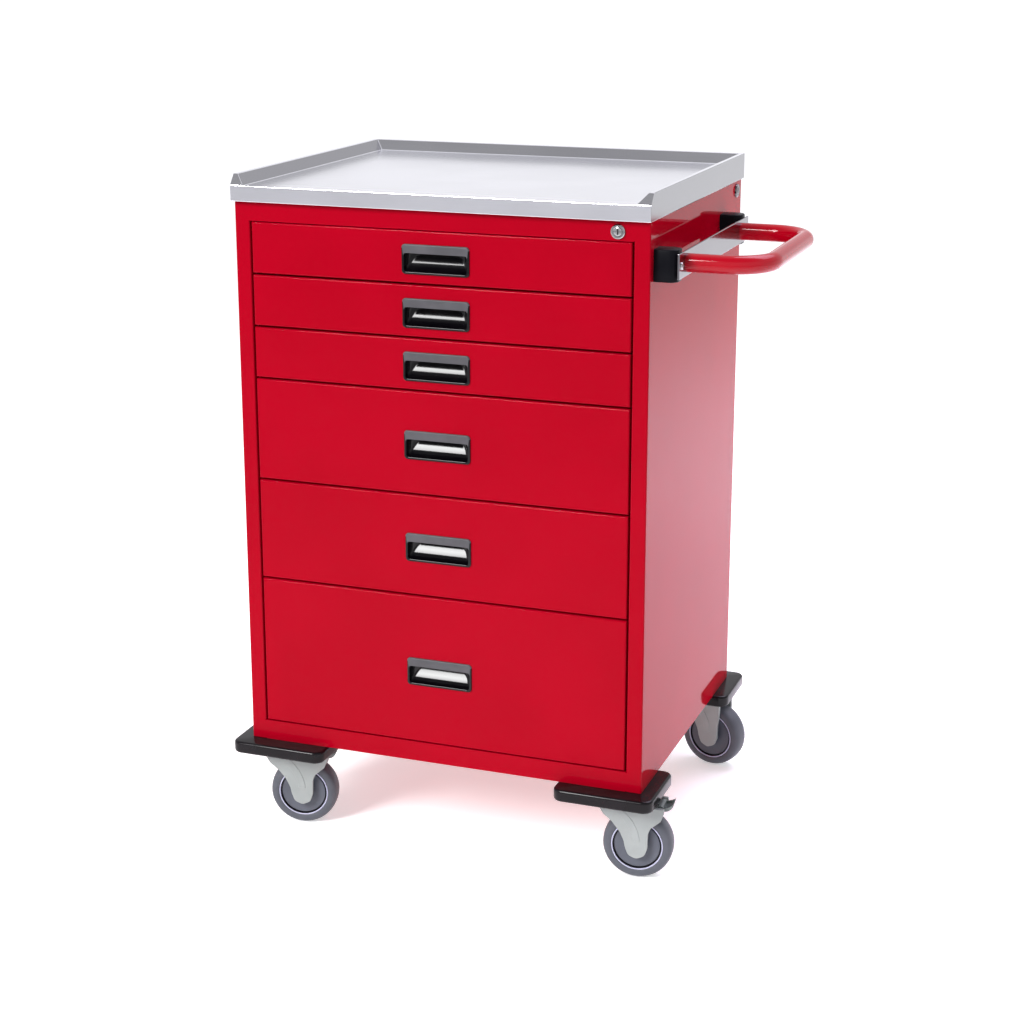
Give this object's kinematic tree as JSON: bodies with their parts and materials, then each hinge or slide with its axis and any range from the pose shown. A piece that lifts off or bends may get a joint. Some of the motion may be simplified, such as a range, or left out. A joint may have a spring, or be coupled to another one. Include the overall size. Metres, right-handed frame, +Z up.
{
  "type": "crash cart",
  "caption": "Steel emergency cart with stacked drawers, a rimmed stainless worktop, a side rail with a tubular push handle, and swivel casters with bumpers.",
  "frame": {"origin": "on the floor, under the middle of the whole cart's box", "axes": "+X to the cart's right side, where the push handle is; +Y from the drawer fronts to the back; +Z up"},
  "size_m": [0.7724, 0.536, 0.968],
  "materials": {
    "red_powder_coat": "gloss",
    "drawer_box_paint": "satin",
    "stainless_steel": "brushed",
    "satin_rail": "satin",
    "zinc_plated_steel": "satin",
    "chrome_plate": "polished",
    "bumper_plastic": "satin",
    "bracket_plastic": "satin",
    "pull_plastic": "gloss",
    "fork_plastic": "satin",
    "wheel_core_plastic": "satin",
    "tyre_rubber": "matte",
    "pedal_plastic": "satin"
  },
  "bodies": {
    "cabinet": {"side_panel_left": "red_powder_coat", "side_panel_right": "red_powder_coat", "back_panel": "red_powder_coat", "floor_pan": "red_powder_coat", "top_rail": "red_powder_coat", "worktop": "stainless_steel", "corner_bumpers": "bumper_plastic", "caster_mounts": "zinc_plated_steel", "slide_uprights": "zinc_plated_steel", "outer_slides": "zinc_plated_steel", "rail_brackets": "bracket_plastic", "accessory_rail": "satin_rail", "push_handle": "red_powder_coat", "rail_screws": "chrome_plate", "lock_housings": "chrome_plate"},
    "front_lock": {"front_lock_barrel": "chrome_plate"},
    "side_lock": {"side_lock_barrel": "chrome_plate"},
    "lock_bar": {"lock_bar": "zinc_plated_steel"},
    "drawer_1": {"drawer_1_front": "red_powder_coat", "drawer_1_box": "drawer_box_paint", "drawer_1_pull": "pull_plastic"},
    "drawer_1_mid_slides": {"drawer_1_mid_slides": "zinc_plated_steel"},
    "drawer_2": {"drawer_2_front": "red_powder_coat", "drawer_2_box": "drawer_box_paint", "drawer_2_pull": "pull_plastic"},
    "drawer_2_mid_slides": {"drawer_2_mid_slides": "zinc_plated_steel"},
    "drawer_3": {"drawer_3_front": "red_powder_coat", "drawer_3_box": "drawer_box_paint", "drawer_3_pull": "pull_plastic"},
    "drawer_3_mid_slides": {"drawer_3_mid_slides": "zinc_plated_steel"},
    "drawer_4": {"drawer_4_front": "red_powder_coat", "drawer_4_box": "drawer_box_paint", "drawer_4_pull": "pull_plastic"},
    "drawer_4_mid_slides": {"drawer_4_mid_slides": "zinc_plated_steel"},
    "drawer_5": {"drawer_5_front": "red_powder_coat", "drawer_5_box": "drawer_box_paint", "drawer_5_pull": "pull_plastic"},
    "drawer_5_mid_slides": {"drawer_5_mid_slides": "zinc_plated_steel"},
    "drawer_6": {"drawer_6_front": "red_powder_coat", "drawer_6_box": "drawer_box_paint", "drawer_6_pull": "pull_plastic"},
    "drawer_6_mid_slides": {"drawer_6_mid_slides": "zinc_plated_steel"},
    "caster_front_left": {"caster_front_left_fork": "fork_plastic", "caster_front_left_axle": "zinc_plated_steel"},
    "wheel_front_left": {"caster_front_left_core": "wheel_core_plastic", "caster_front_left_tyre": "tyre_rubber"},
    "caster_front_right": {"caster_front_right_fork": "fork_plastic", "caster_front_right_axle": "zinc_plated_steel"},
    "wheel_front_right": {"caster_front_right_core": "wheel_core_plastic", "caster_front_right_tyre": "tyre_rubber"},
    "caster_rear_left": {"caster_rear_left_fork": "fork_plastic", "caster_rear_left_axle": "zinc_plated_steel"},
    "wheel_rear_left": {"caster_rear_left_core": "wheel_core_plastic", "caster_rear_left_tyre": "tyre_rubber"},
    "caster_rear_right": {"caster_rear_right_fork": "fork_plastic", "caster_rear_right_axle": "zinc_plated_steel"},
    "wheel_rear_right": {"caster_rear_right_core": "wheel_core_plastic", "caster_rear_right_tyre": "tyre_rubber"},
    "brake_front_left": {"brake_pedal_front_left": "pedal_plastic"},
    "brake_front_right": {"brake_pedal_front_right": "pedal_plastic"}
  },
  "joints": [
    {"name": "drawer_1_slide", "type": "slide", "parent": "cabinet", "child": "drawer_1", "axis": [0, -1, 0], "range_m": [0, 0.4]},
    {"name": "drawer_1_mid_slide", "type": "slide", "parent": "cabinet", "child": "drawer_1_mid_slides", "axis": [0, -1, 0], "range_m": [0, 0.2]},
    {"name": "drawer_2_slide", "type": "slide", "parent": "cabinet", "child": "drawer_2", "axis": [0, -1, 0], "range_m": [0, 0.4]},
    {"name": "drawer_2_mid_slide", "type": "slide", "parent": "cabinet", "child": "drawer_2_mid_slides", "axis": [0, -1, 0], "range_m": [0, 0.2]},
    {"name": "drawer_3_slide", "type": "slide", "parent": "cabinet", "child": "drawer_3", "axis": [0, -1, 0], "range_m": [0, 0.4]},
    {"name": "drawer_3_mid_slide", "type": "slide", "parent": "cabinet", "child": "drawer_3_mid_slides", "axis": [0, -1, 0], "range_m": [0, 0.2]},
    {"name": "drawer_4_slide", "type": "slide", "parent": "cabinet", "child": "drawer_4", "axis": [0, -1, 0], "range_m": [0, 0.4]},
    {"name": "drawer_4_mid_slide", "type": "slide", "parent": "cabinet", "child": "drawer_4_mid_slides", "axis": [0, -1, 0], "range_m": [0, 0.2]},
    {"name": "drawer_5_slide", "type": "slide", "parent": "cabinet", "child": "drawer_5", "axis": [0, -1, 0], "range_m": [0, 0.4]},
    {"name": "drawer_5_mid_slide", "type": "slide", "parent": "cabinet", "child": "drawer_5_mid_slides", "axis": [0, -1, 0], "range_m": [0, 0.2]},
    {"name": "drawer_6_slide", "type": "slide", "parent": "cabinet", "child": "drawer_6", "axis": [0, -1, 0], "range_m": [0, 0.4]},
    {"name": "drawer_6_mid_slide", "type": "slide", "parent": "cabinet", "child": "drawer_6_mid_slides", "axis": [0, -1, 0], "range_m": [0, 0.2]},
    {"name": "caster_front_left_swivel", "type": "hinge", "parent": "cabinet", "child": "caster_front_left", "pos_m": [-0.32425, -0.216, 0.11], "axis": [0, 0, 1], "continuous": true},
    {"name": "wheel_front_left_roll", "type": "hinge", "parent": "caster_front_left", "child": "wheel_front_left", "pos_m": [-0.29502, -0.20925, 0.05], "axis": [-0.225, 0.9744, 0], "continuous": true},
    {"name": "caster_front_right_swivel", "type": "hinge", "parent": "cabinet", "child": "caster_front_right", "pos_m": [0.19575, -0.216, 0.11], "axis": [0, 0, 1], "continuous": true},
    {"name": "wheel_front_right_roll", "type": "hinge", "parent": "caster_front_right", "child": "wheel_front_right", "pos_m": [0.22553, -0.21234, 0.05], "axis": [-0.1219, 0.9925, 0], "continuous": true},
    {"name": "caster_rear_left_swivel", "type": "hinge", "parent": "cabinet", "child": "caster_rear_left", "pos_m": [-0.32425, 0.216, 0.11], "axis": [0, 0, 1], "continuous": true},
    {"name": "wheel_rear_left_roll", "type": "hinge", "parent": "caster_rear_left", "child": "wheel_rear_left", "pos_m": [-0.29471, 0.22121, 0.05], "axis": [-0.1736, 0.9848, 0], "continuous": true},
    {"name": "caster_rear_right_swivel", "type": "hinge", "parent": "cabinet", "child": "caster_rear_right", "pos_m": [0.19575, 0.216, 0.11], "axis": [0, 0, 1], "continuous": true},
    {"name": "wheel_rear_right_roll", "type": "hinge", "parent": "caster_rear_right", "child": "wheel_rear_right", "pos_m": [0.22498, 0.20925, 0.05], "axis": [0.225, 0.9744, 0], "continuous": true},
    {"name": "brake_front_left_press", "type": "hinge", "parent": "caster_front_left", "child": "brake_front_left", "pos_m": [-0.26384, -0.20205, 0.1075], "axis": [-0.225, 0.9744, 0], "range_deg": [0, 15]},
    {"name": "brake_front_right_press", "type": "hinge", "parent": "caster_front_right", "child": "brake_front_right", "pos_m": [0.25729, -0.20844, 0.1075], "axis": [-0.1219, 0.9925, 0], "range_deg": [0, 15]},
    {"name": "front_lock_turn", "type": "hinge", "parent": "cabinet", "child": "front_lock", "pos_m": [0.19175, -0.24, 0.9165], "axis": [0, -1, 0], "range_deg": [0, 90]},
    {"name": "lock_bar_lift", "type": "slide", "parent": "cabinet", "child": "lock_bar", "axis": [0, 0, 1], "range_m": [0, 0.0084]},
    {"name": "side_lock_turn", "type": "hinge", "parent": "cabinet", "child": "side_lock", "pos_m": [0.23575, 0.21, 0.9165], "axis": [1, 0, 0], "range_deg": [0, 90]}
  ],
  "couplings": [
    {"joint": "drawer_1_mid_slide", "follows": "drawer_1_slide", "ratio": 0.5},
    {"joint": "drawer_2_mid_slide", "follows": "drawer_2_slide", "ratio": 0.5},
    {"joint": "drawer_3_mid_slide", "follows": "drawer_3_slide", "ratio": 0.5},
    {"joint": "drawer_4_mid_slide", "follows": "drawer_4_slide", "ratio": 0.5},
    {"joint": "drawer_5_mid_slide", "follows": "drawer_5_slide", "ratio": 0.5},
    {"joint": "drawer_6_mid_slide", "follows": "drawer_6_slide", "ratio": 0.5},
    {"joint": "front_lock_turn", "follows": "lock_bar_lift", "rad_per_m": 185.12}
  ]
}
